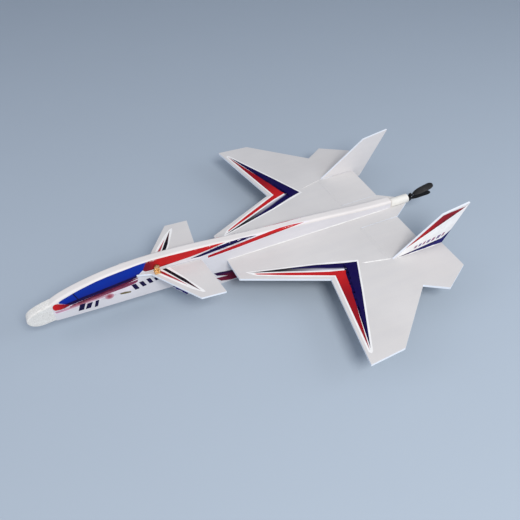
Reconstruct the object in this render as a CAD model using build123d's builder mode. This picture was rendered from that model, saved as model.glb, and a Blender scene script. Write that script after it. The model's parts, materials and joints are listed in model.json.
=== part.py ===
from build123d import *
import math
import os

# Electric foam model aircraft: canard layout, forward-swept outer wing panels,
# twin fins and a pusher folding propeller.
# +X forward (nose), +Y to the left wing tip, +Z up, millimetres.
# The origin lies on the flat underside of the belly, below the kink of the wing's leading edge.

os.makedirs("parts", exist_ok=True)

# ---------------------------------------------------------------- driving dimensions
SPAN_HALF = 350.0        # half the wing span
ZW = 60.0                # height of the wing's top surface above the belly
WING_T = 5.0             # wing foam sheet
FUS_HALF = 10.0          # half the fuselage width
SIDE_T = 4.0             # fuselage side sheet
CAP_T = 6.0              # rounded strip along the top
INNER = FUS_HALF - SIDE_T
FIN_T = 4.0
CANARD_T = 4.0
FRONT_X = 503.0          # front end of the sides, where the nose block starts
TAIL_X = -222.0          # rear end of the sides
CLEAR = 0.05             # running clearance on a radius

HINGE_X = -133.0         # elevon hinge line
HINGE_Z = ZW - WING_T / 2
ELEVON_TE = -219.0
ELEVON_IN, ELEVON_OUT = 41.5, 145.2
HORN_R = 11.0            # lever length of the elevon horns and their servo arms

PIVOT_X, PIVOT_Z = 303.0, ZW + 43.0   # canard shaft
CANARD_DROP = 11.7       # canard mid-plane below the shaft
CANARD_TILT = 4.5        # nose-up setting, degrees
CANARD_LEVER = 7.0
CSERVO_X = 365.0         # canard servo output shaft, ahead of the canard on the right-hand side

MOTOR_Z = ZW + 3.0
POD_R, POD_WALL = 10.0, 1.2
POD_X0, POD_X1 = -225.0, -270.0
FOLD_X, FOLD_Y = -279.0, 6.5          # blade hinge pins
BLADE_L = 54.0
BLADE_SPLAY = {1: 18.0, -1: -4.0}     # how far each blade rests splayed outward from straight aft, degrees
HUB_TURN = 75.0          # how far the propeller rests turned about its shaft, degrees

# top line of the fuselage, from the nose block back to the motor pod
TOP = [(503, 27.5), (487, 35.0), (472, 40.2), (449, 46.5), (426, 51.4), (403, 55.3), (380, 58.0),
       (350, 60.0), (318, 60.8), (279, 59.7), (228, 56.0), (180, 51.0), (124, 44.8), (81, 41.0),
       (20, 37.0), (-33, 33.2), (-81, 28.6), (-130, 23.2), (-180, 19.2), (-222, 17.0)]
# bottom line, outside and 4 mm inside
BOTTOM = [(503, -14.8), (423, -19.0), (345, -21.6), (281, -23.6), (252, -60), (-40, -60), (-222, -8)]
FLOOR = [(503, -10.8), (423, -15.0), (345, -17.6), (277.8, -19.6), (248.9, -56), (-39.4, -56), (-222, -3.9)]


def up(pts, dz=0.0):
    return [(x, z + ZW + dz) for x, z in pts]


def side_sketch_plane(y):
    # local x = world X, local y = world Z; normal towards -Y
    return Plane(origin=(0, y, 0), x_dir=(1, 0, 0), z_dir=(0, -1, 0))


def save(builder, name):
    builder.part.label = name
    export_step(builder.part, f"parts/{name}.step")


def save_turned(builder, name):
    """For the pieces of the propeller, drawn level and resting turned about the shaft."""
    turned = builder.part.rotate(Axis((0, 0, MOTOR_Z), (1, 0, 0)), HUB_TURN)
    turned.label = name
    export_step(turned, f"parts/{name}.step")


# ---------------------------------------------------------------- fuselage shell
with BuildPart() as cavity:
    with BuildSketch(side_sketch_plane(INNER)):
        with BuildLine():
            Spline(*up(TOP, -CAP_T))
            Polyline(up(TOP, -CAP_T)[-1], *reversed(up(FLOOR)), up(TOP, -CAP_T)[0])
        make_face()
    extrude(amount=2 * INNER)


def build_side(sign):
    with BuildPart() as side:
        y_out = FUS_HALF if sign > 0 else -INNER
        with BuildSketch(side_sketch_plane(y_out)):
            with BuildLine():
                Spline(*up(TOP, -CAP_T))
                Polyline(up(TOP, -CAP_T)[-1], *reversed(up(BOTTOM)), up(TOP, -CAP_T)[0])
            make_face()
        extrude(amount=SIDE_T)
        # slot for the flat spar
        with Locations((-23, sign * (FUS_HALF - SIDE_T / 2), ZW - 2.75)):
            Box(6, SIDE_T + 2, 1.5, mode=Mode.SUBTRACT)
        # bush hole for the canard shaft
        with Locations(Location((PIVOT_X, sign * (FUS_HALF - SIDE_T / 2), PIVOT_Z), (90, 0, 0))):
            Cylinder(2.55, SIDE_T + 2, mode=Mode.SUBTRACT)
        # pocket for the magnet that holds the nose
        with Locations(Location((FRONT_X - 1, sign * 8.0, ZW + 4), (0, 90, 0))):
            Cylinder(1.53, 2.0, mode=Mode.SUBTRACT)
        if sign < 0:
            # the canard servo drops in from outside
            with Locations((CSERVO_X - 5.0, -FUS_HALF + SIDE_T / 2, PIVOT_Z)):
                Box(20.4, SIDE_T + 2, 8.9, mode=Mode.SUBTRACT)
            with Locations(*[Location((sx, -FUS_HALF + 1.5, PIVOT_Z), (90, 0, 0)) for sx in (CSERVO_X - 17.2, CSERVO_X + 7.2)]):
                Cylinder(0.85, 3.0, mode=Mode.SUBTRACT)
    return side


fuselage_side_left = build_side(+1)
save(fuselage_side_left, "fuselage_side_left")
fuselage_side_right = build_side(-1)
save(fuselage_side_right, "fuselage_side_right")

with BuildPart() as fuselage_spine:
    with BuildSketch(side_sketch_plane(FUS_HALF)):
        with BuildLine():
            Spline(*up(TOP))
            Line(up(TOP)[-1], up(TOP, -CAP_T)[-1])
            Spline(*up(TOP, -CAP_T))
            Line(up(TOP)[0], up(TOP, -CAP_T)[0])
        make_face()
    extrude(amount=2 * FUS_HALF)
    long_edges = [e for e in fuselage_spine.edges()
                  if e.length > 500 and e.center().Z > ZW + 30 and abs(abs(e.center().Y) - FUS_HALF) < 0.01]
    long_edges = sorted(long_edges, key=lambda e: e.center().Z)[-2:]
    fillet(long_edges, 4.5)
save(fuselage_spine, "fuselage_spine")


def strip(outline, name):
    with BuildPart() as s:
        with BuildSketch(side_sketch_plane(INNER)):
            with BuildLine():
                Polyline(*up(outline), close=True)
            make_face()
        extrude(amount=2 * INNER)
    save(s, name)
    return s


fuselage_floor_front = strip(BOTTOM[0:4] + list(reversed(FLOOR[0:4])), "fuselage_floor_front")
intake_face = strip(BOTTOM[3:5] + list(reversed(FLOOR[3:5])), "intake_face")
belly_strip = strip(BOTTOM[4:6] + list(reversed(FLOOR[4:6])), "belly_strip")
fuselage_floor_rear = strip(BOTTOM[5:7] + list(reversed(FLOOR[5:7])), "fuselage_floor_rear")


def former(x0, x1, name, window):
    """Plywood former cut to the inside of the shell, with a lightening window."""
    with BuildPart() as f:
        add(cavity.part)
        with Locations(((x0 + x1) / 2, 0, ZW)):
            Box(x1 - x0, 40, 300, mode=Mode.INTERSECT)
        if window:
            wz, wh = window
            with Locations(((x0 + x1) / 2, 0, ZW + wz)):
                Box(x1 - x0 + 2, 7.0, wh, mode=Mode.SUBTRACT)
    save(f, name)
    return f


former_canard = former(318.0, 321.0, "former_canard", (18, 50))
former_wing = former(20.0, 23.0, "former_wing", (-14, 50))

with BuildPart() as former_tail:
    with BuildSketch(Plane.YZ.offset(TAIL_X)):
        with Locations((0, ZW + 4.0)):
            RectangleRounded(2 * FUS_HALF, 24.0, 3.0)
        with Locations((0, MOTOR_Z)):
            Circle(3.0, mode=Mode.SUBTRACT)
    extrude(amount=-3.0)
save(former_tail, "former_tail")

# ---------------------------------------------------------------- nose block
with BuildPart() as nose_block:
    with BuildSketch(side_sketch_plane(FUS_HALF)):
        with BuildLine():
            Line((FRONT_X, ZW + 27.5), (FRONT_X, ZW - 14.8))
            Spline((FRONT_X, ZW - 14.8), (520, ZW - 16.9), (537, ZW - 16.2), (548, ZW - 10.0), (552.4, ZW - 0.8),
                   (549.2, ZW + 9.0), (538, ZW + 17.0), (522, ZW + 22.8), (FRONT_X, ZW + 27.5))
        make_face()
    extrude(amount=2 * FUS_HALF)
    rim = [e for e in nose_block.edges()
           if abs(abs(e.center().Y) - FUS_HALF) < 0.01 and e.center().X > FRONT_X + 1]
    fillet(rim, 3.4)
    # tongue that slides between the fuselage sides
    with Locations((FRONT_X - 7.0, 0, ZW + 3.0)):
        Box(14.0, 2 * INNER - 0.6, 24.0)
    with Locations(*[Location((FRONT_X + 1, s * 8.0, ZW + 4), (0, 90, 0)) for s in (-1, 1)]):
        Cylinder(1.53, 2.0, mode=Mode.SUBTRACT)
save(nose_block, "nose_block")

with BuildPart() as nose_magnets:
    with Locations(*[Location((FRONT_X + 1.05, s * 8.0, ZW + 4), (0, 90, 0)) for s in (-1, 1)]):
        Cylinder(1.5, 1.8)
save(nose_magnets, "nose_magnets")
with BuildPart() as fuselage_magnets:
    with Locations(*[Location((FRONT_X - 1.05, s * 8.0, ZW + 4), (0, 90, 0)) for s in (-1, 1)]):
        Cylinder(1.5, 1.8)
save(fuselage_magnets, "fuselage_magnets")

# ---------------------------------------------------------------- wing
NOTCH_X = -165.0         # front end of the notch that takes the fin
WING = [(162, 10), (160, 69), (0.5, 145), (38, SPAN_HALF), (-34, 344.5), (-149.5, 233.5), (-192, 261),
        (-253, 221.5), (-253, 150.2), (NOTCH_X, 150.2), (NOTCH_X, 146), (-129.5, 146), (-129.5, 40.7), (-219, 40.7), (-262, 10.3),
        (POD_X0 - 0.0, 10.3), (POD_X0, 10)]
SERVO_X, SERVO_Z = -85.0, ZW - 6.25   # elevon servo output shaft


def build_wing(sign):
    with BuildPart() as wing:
        with BuildSketch(Plane.XY.offset(ZW - WING_T)):
            with BuildLine():
                Polyline(*[(x, sign * y) for x, y in WING], close=True)
            make_face()
        extrude(amount=WING_T)
        # channel for the flat spar
        with Locations((-23, sign * 134.9, ZW - 2.75)):
            Box(6, 250, 1.5, mode=Mode.SUBTRACT)
        # holes for the elevon hinge wire, at both ends of the cut-out
        with Locations(Location((HINGE_X, sign * 36.5, HINGE_Z), (90, 0, 0)),
                       Location((HINGE_X, sign * 150.0, HINGE_Z), (90, 0, 0))):
            Cylinder(0.75 + CLEAR, 8.6, mode=Mode.SUBTRACT)
        # pocket in the underside for the elevon servo
        with Locations((SERVO_X - 5.0, sign * 79.25, ZW - WING_T)):
            Box(20.4, 16.3, 6.0, mode=Mode.SUBTRACT)
        with Locations((SERVO_X - 5.0, sign * 84.0, ZW - WING_T)):
            Box(28.4, 1.8, 6.0, mode=Mode.SUBTRACT)
        with Locations((SERVO_X, sign * 89.75, ZW - WING_T)):
            Box(8.8, 5.5, 6.0, mode=Mode.SUBTRACT)
    return wing


wing_left = build_wing(+1)
save(wing_left, "wing_left")
wing_right = build_wing(-1)
save(wing_right, "wing_right")

with BuildPart() as wing_spar:
    with Locations((-23, 0, ZW - 2.75)):
        Box(6.0, 519.0, 1.5)
save(wing_spar, "wing_spar")


def build_elevon(sign):
    mid = sign * (ELEVON_IN + ELEVON_OUT) / 2
    length = ELEVON_OUT - ELEVON_IN
    with BuildPart() as elevon:
        with BuildSketch(side_sketch_plane(mid + length / 2)):
            with BuildLine():
                r = WING_T / 2
                arc = ThreePointArc((HINGE_X, HINGE_Z + r), (HINGE_X + r, HINGE_Z), (HINGE_X, HINGE_Z - r))
                Polyline((HINGE_X, HINGE_Z - r), (ELEVON_TE, HINGE_Z - r + 0.8), (ELEVON_TE, HINGE_Z + r - 0.8),
                         (HINGE_X - 60, HINGE_Z + r), (HINGE_X, HINGE_Z + r))
            make_face()
        extrude(amount=length)
        with Locations(Location((HINGE_X, mid, HINGE_Z), (90, 0, 0))):
            Cylinder(0.75 + 0.02, length + 2, mode=Mode.SUBTRACT)
    return elevon


elevon_left = build_elevon(+1)
save(elevon_left, "elevon_left")
elevon_right = build_elevon(-1)
save(elevon_right, "elevon_right")


def build_hinge_wire(sign):
    with BuildPart() as wire:
        with Locations(Location((HINGE_X, sign * (33.0 + 153.4) / 2, HINGE_Z), (90, 0, 0))):
            Cylinder(0.75, 120.4)
    return wire


hinge_wire_left = build_hinge_wire(+1)
save(hinge_wire_left, "hinge_wire_left")
hinge_wire_right = build_hinge_wire(-1)
save(hinge_wire_right, "hinge_wire_right")

# ---------------------------------------------------------------- fins
FIN_IN = 146.2
# the rear of the fin sits in a notch of the wing and carries on below it, in line with its trailing edge
FIN = [(-137, 0), (-241, 78), (-302, 87), (-240.6, -22), (-222, -22), (NOTCH_X, -5), (NOTCH_X, 0)]


def build_fin(sign):
    y0 = FIN_IN + FIN_T if sign > 0 else -FIN_IN
    with BuildPart() as fin:
        with BuildSketch(side_sketch_plane(y0)):
            with BuildLine():
                Polyline(*up(FIN), close=True)
            make_face()
        extrude(amount=FIN_T)
    return fin


fin_left = build_fin(+1)
save(fin_left, "fin_left")
fin_right = build_fin(-1)
save(fin_right, "fin_right")

# ---------------------------------------------------------------- servos, arms, horns and pushrods
ARM_T = 1.5
ROD_R = 0.6
HOLE_R = ROD_R + CLEAR


def servo_case(px, pz, y_ear, sign, ear_screws=False):
    """Micro servo lying across: output shaft along Y, towards +sign*Y.
    y_ear is the inner face of the mounting ears."""
    with BuildPart() as s:
        with Locations((px - 5.0, y_ear - sign * 6.0, pz)):
            Box(20.0, 12.0, 8.3)
        with Locations((px - 5.0, y_ear + sign * 1.9, pz)):
            Box(20.0, 3.8, 8.3)
        with Locations((px - 5.0, y_ear + sign * 0.7, pz)):
            Box(28.0, 1.4, 8.3)
        with Locations(Location((px, y_ear + sign * 4.2, pz), (90, 0, 0))):
            Cylinder(3.9, 0.9)
        with Locations(*[Location((px - 5.0 + d, y_ear + sign * 0.7, pz), (90, 0, 0)) for d in (-12.2, 12.2)]):
            Cylinder(0.9, 3.0, mode=Mode.SUBTRACT)
        # socket for the output spline
        with Locations(Location((px, y_ear + sign * 3.7, pz), (90, 0, 0))):
            Cylinder(1.6 + CLEAR, 2.0, mode=Mode.SUBTRACT)
        # blind end and lead exit
        with Locations((px - 14.0, y_ear - sign * 10.0, pz)):
            Box(3.0, 4.0, 3.4, mode=Mode.SUBTRACT)
    return s


def servo_arm(px, pz, y_face, sign, length, direction):
    """Arm with the spline stub; the plate is ARM_T thick and starts at y_face."""
    yc = y_face + sign * ARM_T / 2
    with BuildPart() as a:
        with BuildSketch(side_sketch_plane(yc + ARM_T / 2)):
            with BuildLine():
                tip = pz + direction * length
                if direction > 0:
                    Polyline((px - 2.6, pz), (px - 1.7, tip), (px + 1.7, tip), (px + 2.6, pz), close=True)
                else:
                    Polyline((px - 2.6, pz), (px + 2.6, pz), (px + 1.7, tip), (px - 1.7, tip), close=True)
            make_face()
            with Locations((px, tip)):
                Circle(1.7)
            with Locations((px, pz)):
                Circle(2.9)
            with Locations((px, tip), (px, pz + direction * (length - 2.6)), (px, pz + direction * (length - 5.2))):
                Circle(HOLE_R, mode=Mode.SUBTRACT)
        extrude(amount=ARM_T)
        with Locations(Location((px, y_face - sign * 0.85, pz), (90, 0, 0))):
            Cylinder(1.6, 1.7)
        with Locations(Location((px, y_face + sign * 0.0, pz), (90, 0, 0))):
            Cylinder(0.65, 8.0, mode=Mode.SUBTRACT)
    return a


def arm_screw(px, pz, y_face, sign):
    head = y_face + sign * ARM_T
    with BuildPart() as s:
        with Locations(Location((px, head + sign * 0.5, pz), (90, 0, 0))):
            Cylinder(1.4, 1.0)
        with Locations(Location((px, head - sign * 1.4, pz), (90, 0, 0))):
            Cylinder(0.6, 2.8)
        with Locations((px, head + sign * 0.8, pz)):
            Box(2.0, 0.5, 0.4, mode=Mode.SUBTRACT)
            Box(0.4, 0.5, 2.0, mode=Mode.SUBTRACT)
    return s


def pushrod(x0, z0, x1, z1, y_plate, sign):
    """Wire with both ends turned in through the lever holes."""
    yo = y_plate + sign * (ARM_T + ROD_R + 0.15)
    yi = y_plate - sign * 0.9
    with BuildPart() as p:
        d = Vector(x1 - x0, 0, z1 - z0)
        pl = Plane(origin=(x0, yo, z0), z_dir=(d.X, 0, d.Z))
        with BuildSketch(pl):
            Circle(ROD_R)
        extrude(amount=d.length)
        with Locations(*[Location((px, (yo + yi) / 2, pz), (90, 0, 0)) for px, pz in ((x0, z0), (x1, z1))]):
            Cylinder(ROD_R, abs(yo - yi))
        with Locations((x0, yo, z0), (x1, yo, z1)):
            Sphere(ROD_R)
    return p


def elevon_horn(sign, y_plate):
    yc = y_plate + sign * ARM_T / 2
    hz = HINGE_Z - HORN_R
    zb = HINGE_Z - WING_T / 2
    with BuildPart() as h:
        with BuildSketch(side_sketch_plane(yc + ARM_T / 2)):
            with BuildLine():
                Polyline((-136.0, zb - 1.2), (-150.0, zb - 1.2), (-135.4, hz - 1.6), (-131.3, hz - 0.6),
                         (-131.2, hz + 1.6), close=True)
            make_face()
            with Locations((HINGE_X, hz)):
                Circle(2.0)
            with Locations((HINGE_X, hz)):
                Circle(HOLE_R, mode=Mode.SUBTRACT)
            with Locations((-139.0, hz + 4.4)):
                Circle(HOLE_R, mode=Mode.SUBTRACT)
        extrude(amount=ARM_T)
        # foot glued and screwed under the elevon, following its slight taper
        with BuildSketch(side_sketch_plane(yc + 5.0)):
            with BuildLine():
                k = 0.8 / (HINGE_X - ELEVON_TE)
                Polyline((-135.5, zb + k * 2.5 - 0.02), (-151.5, zb + k * 18.5 - 0.02), (-151.5, zb - 1.25), (-135.5, zb - 1.25),
                         close=True)
            make_face()
        extrude(amount=10.0)
    return h


# elevon linkages
EAR_Y = 83.3
ARM_Y = 89.0
for sgn, side in ((1, "left"), (-1, "right")):
    save(servo_case(SERVO_X, SERVO_Z, sgn * EAR_Y, sgn), f"elevon_servo_{side}")
    save(servo_arm(SERVO_X, SERVO_Z, sgn * ARM_Y, sgn, HORN_R, -1), f"elevon_servo_arm_{side}")
    save(arm_screw(SERVO_X, SERVO_Z, sgn * ARM_Y, sgn), f"elevon_arm_screw_{side}")
    save(elevon_horn(sgn, sgn * ARM_Y), f"elevon_horn_{side}")
    save(pushrod(SERVO_X, SERVO_Z - HORN_R, HINGE_X, HINGE_Z - HORN_R, sgn * ARM_Y, sgn), f"elevon_pushrod_{side}")

# canard linkage, on the right-hand side of the fuselage
save(servo_case(CSERVO_X, PIVOT_Z, -FUS_HALF, -1), "canard_servo")
save(servo_arm(CSERVO_X, PIVOT_Z, -15.3, -1, CANARD_LEVER, +1), "canard_servo_arm")
save(arm_screw(CSERVO_X, PIVOT_Z, -15.3, -1), "canard_arm_screw")
save(pushrod(CSERVO_X, PIVOT_Z + CANARD_LEVER, PIVOT_X, PIVOT_Z + CANARD_LEVER, -15.3, -1), "canard_pushrod")

with BuildPart() as servo_screws:
    with Locations(*[Location((CSERVO_X - 5.0 + d, -FUS_HALF - 1.4 - 0.4, PIVOT_Z), (90, 0, 0)) for d in (-12.2, 12.2)]):
        Cylinder(1.5, 0.8)
    with Locations(*[Location((CSERVO_X - 5.0 + d, -FUS_HALF - 0.2, PIVOT_Z), (90, 0, 0)) for d in (-12.2, 12.2)]):
        Cylinder(0.8, 4.0)
save(servo_screws, "servo_screws")

# ---------------------------------------------------------------- canard
canard_frame = Plane(origin=(PIVOT_X, 0, PIVOT_Z), x_dir=(1, 0, 0), z_dir=(0, 0, 1)).rotated((0, -CANARD_TILT, 0))
CANARD = [(342, 10.9), (315, 17.5), (249, 110.5), (201, 111.5), (214, 10.9)]


def build_canard(sign):
    with BuildPart() as c:
        with BuildSketch(canard_frame.offset(-CANARD_DROP - CANARD_T / 2)):
            with BuildLine():
                Polyline(*[(x - PIVOT_X, sign * y) for x, y in CANARD], close=True)
            make_face()
            with Locations((-3.5, sign * 18.0), (3.5, sign * 18.0)):
                Circle(0.85, mode=Mode.SUBTRACT)
        extrude(amount=CANARD_T)
    return c


canard_left = build_canard(+1)
save(canard_left, "canard_left")
canard_right = build_canard(-1)
save(canard_right, "canard_right")

with BuildPart() as canard_shaft:
    with Locations(Location((PIVOT_X, 0, PIVOT_Z), (90, 0, 0))):
        Cylinder(1.5, 2 * 14.6)
save(canard_shaft, "canard_shaft")

with BuildPart() as canard_bushes:
    for s in (-1, 1):
        with Locations(Location((PIVOT_X, s * (FUS_HALF - 2.0), PIVOT_Z), (90, 0, 0))):
            Cylinder(2.5, 4.0)
        with Locations(Location((PIVOT_X, s * (FUS_HALF + 0.3), PIVOT_Z), (90, 0, 0))):
            Cylinder(4.2, 0.6)
    with Locations(Location((PIVOT_X, 0, PIVOT_Z), (90, 0, 0))):
        Cylinder(1.5 + CLEAR, 60, mode=Mode.SUBTRACT)
save(canard_bushes, "canard_bushes")


def build_bracket(sign):
    """Brass hub clamped on the shaft, with a foot screwed to the top of the canard."""
    with BuildPart() as b:
        y_hub = sign * (10.9 + 1.95)
        with BuildSketch(Plane(origin=(PIVOT_X, y_hub + 1.95, PIVOT_Z), x_dir=canard_frame.x_dir, z_dir=(0, -1, 0))):
            Circle(5.4)
            with BuildLine():
                Polyline((-4.6, -2.0), (-6.2, -CANARD_DROP + CANARD_T / 2), (6.2, -CANARD_DROP + CANARD_T / 2), (4.6, -2.0),
                         close=True)
            make_face()
        extrude(amount=3.9)
        with BuildSketch(canard_frame.offset(-CANARD_DROP + CANARD_T / 2)):
            with Locations((0, sign * 16.9)):
                RectangleRounded(12.4, 12.0, 1.5)
            with Locations((-3.5, sign * 18.0), (3.5, sign * 18.0)):
                Circle(0.85, mode=Mode.SUBTRACT)
        extrude(amount=1.4)
        if sign < 0:
            # lever for the pushrod
            with BuildSketch(Plane(origin=(PIVOT_X, -15.3, PIVOT_Z), x_dir=(1, 0, 0), z_dir=(0, -1, 0))):
                Circle(3.4)
                with BuildLine():
                    Polyline((-2.8, 0), (2.8, 0), (1.8, CANARD_LEVER), (-1.8, CANARD_LEVER), close=True)
                make_face()
                with Locations((0, CANARD_LEVER)):
                    Circle(1.8)
                with Locations((0, CANARD_LEVER)):
                    Circle(HOLE_R, mode=Mode.SUBTRACT)
            extrude(amount=ARM_T)
            with Locations(Location((PIVOT_X, -15.05, PIVOT_Z), (90, 0, 0))):
                Cylinder(3.4, 0.6)
        with Locations(Location((PIVOT_X, sign * 12.0, PIVOT_Z), (90, 0, 0))):
            Cylinder(1.52, 5.6, mode=Mode.SUBTRACT)
    return b


canard_bracket_left = build_bracket(+1)
save(canard_bracket_left, "canard_bracket_left")
canard_bracket_right = build_bracket(-1)
save(canard_bracket_right, "canard_bracket_right")

with BuildPart() as bracket_screws:
    with Locations(canard_frame.offset(-CANARD_DROP + CANARD_T / 2 + 1.4)):
        with Locations(*[(sx, s * 18.0, 0.45) for s in (-1, 1) for sx in (-3.5, 3.5)]):
            Cylinder(1.4, 0.9)
        with Locations(*[(sx, s * 18.0, -2.2) for s in (-1, 1) for sx in (-3.5, 3.5)]):
            Cylinder(0.8, 4.4)
save(bracket_screws, "bracket_screws")

# ---------------------------------------------------------------- power and radio gear inside
with BuildPart() as battery:
    with Locations((453, 0, ZW + 4)):
        Box(56.0, 10.4, 28.0)
    fillet(battery.edges().filter_by(Axis.X), 1.5)
save(battery, "battery")
with BuildPart() as battery_pad:
    with Locations((453, 5.6, ZW + 4)):
        Box(40.0, 0.8, 18.0)
save(battery_pad, "battery_pad")
with BuildPart() as speed_controller:
    with Locations((395, 3.4, ZW + 10)):
        Box(22.0, 5.2, 12.0)
    fillet(speed_controller.edges().filter_by(Axis.X), 1.0)
save(speed_controller, "speed_controller")
with BuildPart() as receiver:
    with Locations((352, 2.0, ZW + 12)):
        Box(30.0, 8.0, 18.0)
    with Locations((366.5, -1.0, ZW + 12)):
        Box(3.0, 3.0, 14.0, mode=Mode.SUBTRACT)
save(receiver, "receiver")

# ---------------------------------------------------------------- motor pod and folding propeller
AXIS_X = (0, 90, 0)
with BuildPart() as motor_pod:
    with Locations(Location(((POD_X0 + POD_X1) / 2, 0, MOTOR_Z), AXIS_X)):
        Cylinder(POD_R, POD_X0 - POD_X1)
    with Locations(Location((POD_X1 + 0.8, 0, MOTOR_Z), AXIS_X)):
        Cylinder(5.4, 6.0, mode=Mode.SUBTRACT)
    with Locations(Location(((POD_X0 + POD_X1) / 2 + 1.0, 0, MOTOR_Z), AXIS_X)):
        Cylinder(POD_R - POD_WALL, POD_X0 - POD_X1 - 2.0, mode=Mode.SUBTRACT)
    aft = [e for e in motor_pod.edges().filter_by(GeomType.CIRCLE) if abs(e.radius - POD_R) < 0.01 and e.center().X < POD_X1 + 1]
    fillet(aft, 0.9)
save(motor_pod, "motor_pod")

with BuildPart() as motor_mount:
    with Locations(Location((-236.5, 0, MOTOR_Z), AXIS_X)):
        Cylinder(POD_R - POD_WALL - 0.02, 3.0)
    with Locations(Location((-236.5, 0, MOTOR_Z), AXIS_X)):
        Cylinder(1.6, 6.0, mode=Mode.SUBTRACT)
    with Locations(*[Location((-236.5, a, MOTOR_Z + b), AXIS_X) for a, b in ((5.2, 0), (-5.2, 0), (0, 5.2), (0, -5.2))]):
        Cylinder(0.85, 6.0, mode=Mode.SUBTRACT)
save(motor_mount, "motor_mount")

with BuildPart() as motor_stator:
    with Locations(Location((-239.0, 0, MOTOR_Z), AXIS_X)):
        Cylinder(7.4, 2.0)
    with Locations(Location((-247.0, 0, MOTOR_Z), AXIS_X)):
        Cylinder(2.6, 16.0)
    with Locations(Location((-247.0, 0, MOTOR_Z), AXIS_X)):
        Cylinder(6.4, 9.0)
    with Locations(Location((-247.0, 0, MOTOR_Z), AXIS_X)):
        with PolarLocations(5.0, 9):
            Box(2.2, 1.1, 12.0, mode=Mode.SUBTRACT)
    with Locations(Location((-247.0, 0, MOTOR_Z), AXIS_X)):
        Cylinder(1.0 + CLEAR, 30.0, mode=Mode.SUBTRACT)
    with Locations(*[Location((-239.0, a, MOTOR_Z + b), AXIS_X) for a, b in ((5.2, 0), (-5.2, 0), (0, 5.2), (0, -5.2))]):
        Cylinder(0.85, 3.0, mode=Mode.SUBTRACT)
save(motor_stator, "motor_stator")

with BuildPart() as motor_screws:
    pts = ((5.2, 0), (-5.2, 0), (0, 5.2), (0, -5.2))
    with Locations(*[Location((-234.5, a, MOTOR_Z + b), AXIS_X) for a, b in pts]):
        Cylinder(1.4, 1.0)
    with Locations(*[Location((-237.4, a, MOTOR_Z + b), AXIS_X) for a, b in pts]):
        Cylinder(0.8, 4.8)
save(motor_screws, "motor_screws")

with BuildPart() as motor_bell:
    with Locations(Location((-248.6, 0, MOTOR_Z), AXIS_X)):
        Cylinder(7.9, 16.8)
    with Locations(Location((-247.4, 0, MOTOR_Z), AXIS_X)):
        Cylinder(6.9, 16.4, mode=Mode.SUBTRACT)
    with Locations(Location((-256.3, 0, MOTOR_Z), AXIS_X)):
        with PolarLocations(4.6, 6):
            Cylinder(1.4, 4.0, mode=Mode.SUBTRACT)
    with Locations(Location((-256.3, 0, MOTOR_Z), AXIS_X)):
        Cylinder(2.2, 1.4)
        Cylinder(1.02, 6.0, mode=Mode.SUBTRACT)
save(motor_bell, "motor_bell")

with BuildPart() as motor_shaft:
    with Locations(Location(((-238.5 - 284.0) / 2, 0, MOTOR_Z), AXIS_X)):
        Cylinder(1.0, 284.0 - 238.5)
save(motor_shaft, "motor_shaft")

with BuildPart() as prop_hub:
    with Locations(Location((-276.6, 0, MOTOR_Z), AXIS_X)):
        Cylinder(4.6, 10.8)
    with BuildSketch(Plane.XY.offset(MOTOR_Z - 4.0)):
        with Locations((FOLD_X, 0)):
            SlotCenterToCenter(2 * FOLD_Y, 6.0, rotation=90)
    extrude(amount=8.0)
    # slots that take the blade roots
    with Locations(*[(FOLD_X - 0.4, s * (FOLD_Y + 0.6), MOTOR_Z) for s in (-1, 1)]):
        Box(8.0, 7.2, 3.6, mode=Mode.SUBTRACT)
    with Locations(*[(FOLD_X, s * FOLD_Y, MOTOR_Z) for s in (-1, 1)]):
        Cylinder(0.82, 20.0, mode=Mode.SUBTRACT)
    with Locations(Location((-276.6, 0, MOTOR_Z), AXIS_X)):
        Cylinder(1.02, 20.0, mode=Mode.SUBTRACT)
save_turned(prop_hub, "prop_hub")

with BuildPart() as prop_nut:
    with BuildSketch(Plane.YZ.offset(-282.1)):
        with Locations((0, MOTOR_Z)):
            RegularPolygon(2.6, 6)
            Circle(1.02, mode=Mode.SUBTRACT)
    extrude(amount=-1.7)
save(prop_nut, "prop_nut")

with BuildPart() as blade_pins:
    with Locations(*[(FOLD_X, s * FOLD_Y, MOTOR_Z) for s in (-1, 1)]):
        Cylinder(0.8, 9.4)
    with Locations(*[(FOLD_X, s * FOLD_Y, MOTOR_Z + 4.35) for s in (-1, 1)]):
        Cylinder(1.3, 0.7)
save_turned(blade_pins, "blade_pins")


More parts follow.
